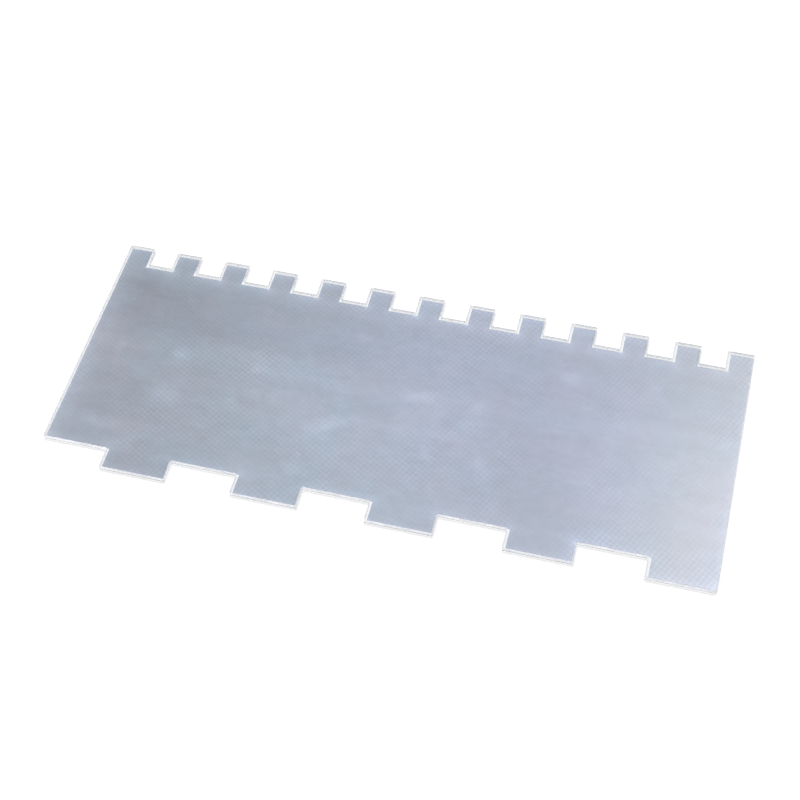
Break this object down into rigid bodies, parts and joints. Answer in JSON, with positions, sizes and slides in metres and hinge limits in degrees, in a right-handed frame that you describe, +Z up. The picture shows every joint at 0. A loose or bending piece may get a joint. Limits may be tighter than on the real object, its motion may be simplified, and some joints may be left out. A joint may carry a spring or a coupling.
{
  "type": "cake comb",
  "caption": "Flat clear acrylic cake comb with narrow square teeth on one long edge, wide square teeth on the other, and a peel-off protective film.",
  "frame": {"origin": "centre of the underside, on the surface that the comb lies on", "axes": "+X along the comb's length with the first wide recess at the -X end, +Y towards the narrow teeth, +Z up out of the sheet"},
  "size_m": [0.24, 0.1, 0.0024],
  "materials": {
    "clear_acrylic": "polished and clear, with heat-rounded cut edges",
    "milky_film": "milky blue-grey, embossed with a fine square grid"
  },
  "bodies": {
    "film": {"protective_film": "milky_film"},
    "comb": {"comb_plate": "clear_acrylic"}
  },
  "joints": [
    {"name": "comb_lift", "type": "slide", "parent": "film", "child": "comb", "axis": [0, 0, 1], "range_m": [0, 0.05]}
  ]
}
